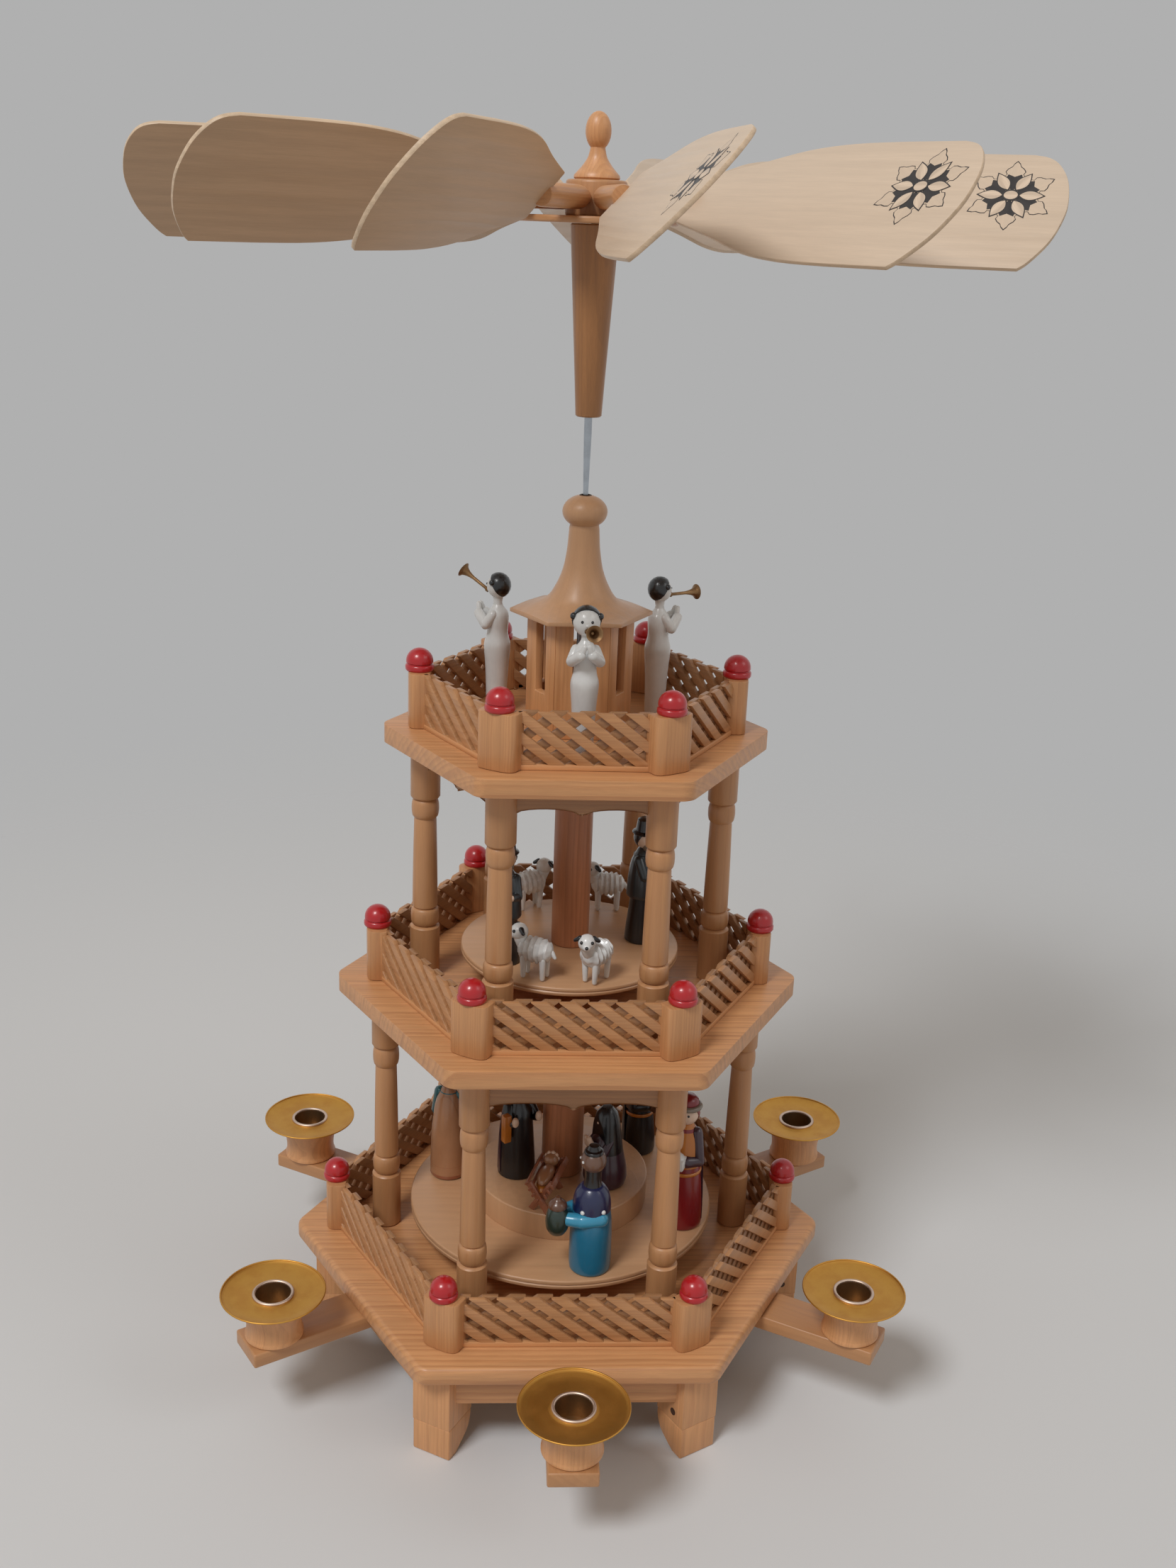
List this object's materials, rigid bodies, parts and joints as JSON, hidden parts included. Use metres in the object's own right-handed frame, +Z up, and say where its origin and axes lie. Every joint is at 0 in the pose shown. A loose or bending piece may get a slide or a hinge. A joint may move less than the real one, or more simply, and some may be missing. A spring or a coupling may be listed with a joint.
{
  "type": "christmas pyramid",
  "caption": "Candle-driven christmas pyramid of pine: tiered hexagonal decks with lattice fences, candle arms with drip plates, and a spinning rotor with figures and wing blades.",
  "frame": {"origin": "on the floor under the spindle, in the middle of the six feet", "axes": "+Z up along the spindle; the front flat side of the decks faces -Y, and a deck corner points to +X"},
  "size_m": [0.3574, 0.3574, 0.5511],
  "materials": {
    "pine": "clear satin varnish",
    "dark_pine": "brown satin varnish",
    "limewood": "bare, fine sanded",
    "brass": "satin",
    "steel": "drawn",
    "white_paint": "white gloss paint",
    "blue_paint": "light blue gloss paint",
    "teal_paint": "teal gloss paint",
    "red_paint": "red gloss paint",
    "black_paint": "black gloss paint",
    "purple_paint": "dark purple gloss paint",
    "green_paint": "dark green gloss paint"
  },
  "bodies": {
    "stand": {"base_frame": "pine", "lower_deck": "pine", "middle_deck": "pine", "upper_deck": "pine", "lower_arcade": "pine", "middle_arcade": "pine", "lower_fence": "pine", "middle_fence": "pine", "upper_fence": "pine", "bearing_cup": "brass", "crown_cage": "pine", "bell_roof": "pine", "candle_arm_1": "pine", "candle_arm_2": "pine", "candle_arm_3": "pine", "candle_arm_4": "pine", "candle_arm_5": "pine", "candle_arm_6": "pine", "drip_plate_1": "brass", "drip_plate_2": "brass", "drip_plate_3": "brass", "drip_plate_4": "brass", "drip_plate_5": "brass", "drip_plate_6": "brass", "angel_1": "white_paint", "angel_2": "white_paint", "angel_3": "white_paint"},
    "rotor": {"spindle_rod": "steel", "lower_turntable": "pine", "middle_turntable": "pine", "lower_trunk": "dark_pine", "upper_trunk": "dark_pine", "spindle_sleeve": "dark_pine", "blade_hub": "pine", "finial": "pine", "shepherd_1": "black_paint", "shepherd_2": "black_paint", "sheep_1": "white_paint", "sheep_2": "white_paint", "sheep_3": "white_paint", "sheep_4": "white_paint", "king_blue": "blue_paint", "king_red": "red_paint", "king_green": "teal_paint", "camel_driver": "black_paint", "crib_father": "green_paint", "crib_mother": "purple_paint", "manger": "pine"},
    "blade_1": {"wing_blade_1": "limewood"},
    "blade_2": {"wing_blade_2": "limewood"},
    "blade_3": {"wing_blade_3": "limewood"},
    "blade_4": {"wing_blade_4": "limewood"},
    "blade_5": {"wing_blade_5": "limewood"},
    "blade_6": {"wing_blade_6": "limewood"},
    "blade_7": {"wing_blade_7": "limewood"},
    "blade_8": {"wing_blade_8": "limewood"},
    "blade_9": {"wing_blade_9": "limewood"},
    "blade_10": {"wing_blade_10": "limewood"},
    "blade_11": {"wing_blade_11": "limewood"},
    "blade_12": {"wing_blade_12": "limewood"}
  },
  "joints": [
    {"name": "rotor_spin", "type": "hinge", "parent": "stand", "child": "rotor", "pos_m": [0, 0, 0.0544], "axis": [0, 0, 1], "continuous": true},
    {"name": "blade_1_twist", "type": "hinge", "parent": "rotor", "child": "blade_1", "pos_m": [0.01192, 0.00136, 0.5191], "axis": [0.9936, 0.1132, 0], "range_deg": [-20, 20]},
    {"name": "blade_2_twist", "type": "hinge", "parent": "rotor", "child": "blade_2", "pos_m": [0.00965, 0.00714, 0.5191], "axis": [0.8039, 0.5948, 0], "range_deg": [-20, 20]},
    {"name": "blade_3_twist", "type": "hinge", "parent": "rotor", "child": "blade_3", "pos_m": [0.00478, 0.011, 0.5191], "axis": [0.3987, 0.9171, 0], "range_deg": [-20, 20]},
    {"name": "blade_4_twist", "type": "hinge", "parent": "rotor", "child": "blade_4", "pos_m": [-0.00136, 0.01192, 0.5191], "axis": [-0.1132, 0.9936, 0], "range_deg": [-20, 20]},
    {"name": "blade_5_twist", "type": "hinge", "parent": "rotor", "child": "blade_5", "pos_m": [-0.00714, 0.00965, 0.5191], "axis": [-0.5948, 0.8039, 0], "range_deg": [-20, 20]},
    {"name": "blade_6_twist", "type": "hinge", "parent": "rotor", "child": "blade_6", "pos_m": [-0.011, 0.00478, 0.5191], "axis": [-0.9171, 0.3987, 0], "range_deg": [-20, 20]},
    {"name": "blade_7_twist", "type": "hinge", "parent": "rotor", "child": "blade_7", "pos_m": [-0.01192, -0.00136, 0.5191], "axis": [-0.9936, -0.1132, 0], "range_deg": [-20, 20]},
    {"name": "blade_8_twist", "type": "hinge", "parent": "rotor", "child": "blade_8", "pos_m": [-0.00965, -0.00714, 0.5191], "axis": [-0.8039, -0.5948, 0], "range_deg": [-20, 20]},
    {"name": "blade_9_twist", "type": "hinge", "parent": "rotor", "child": "blade_9", "pos_m": [-0.00478, -0.011, 0.5191], "axis": [-0.3987, -0.9171, 0], "range_deg": [-20, 20]},
    {"name": "blade_10_twist", "type": "hinge", "parent": "rotor", "child": "blade_10", "pos_m": [0.00136, -0.01192, 0.5191], "axis": [0.1132, -0.9936, 0], "range_deg": [-20, 20]},
    {"name": "blade_11_twist", "type": "hinge", "parent": "rotor", "child": "blade_11", "pos_m": [0.00714, -0.00965, 0.5191], "axis": [0.5948, -0.8039, 0], "range_deg": [-20, 20]},
    {"name": "blade_12_twist", "type": "hinge", "parent": "rotor", "child": "blade_12", "pos_m": [0.011, -0.00478, 0.5191], "axis": [0.9171, -0.3987, 0], "range_deg": [-20, 20]}
  ]
}
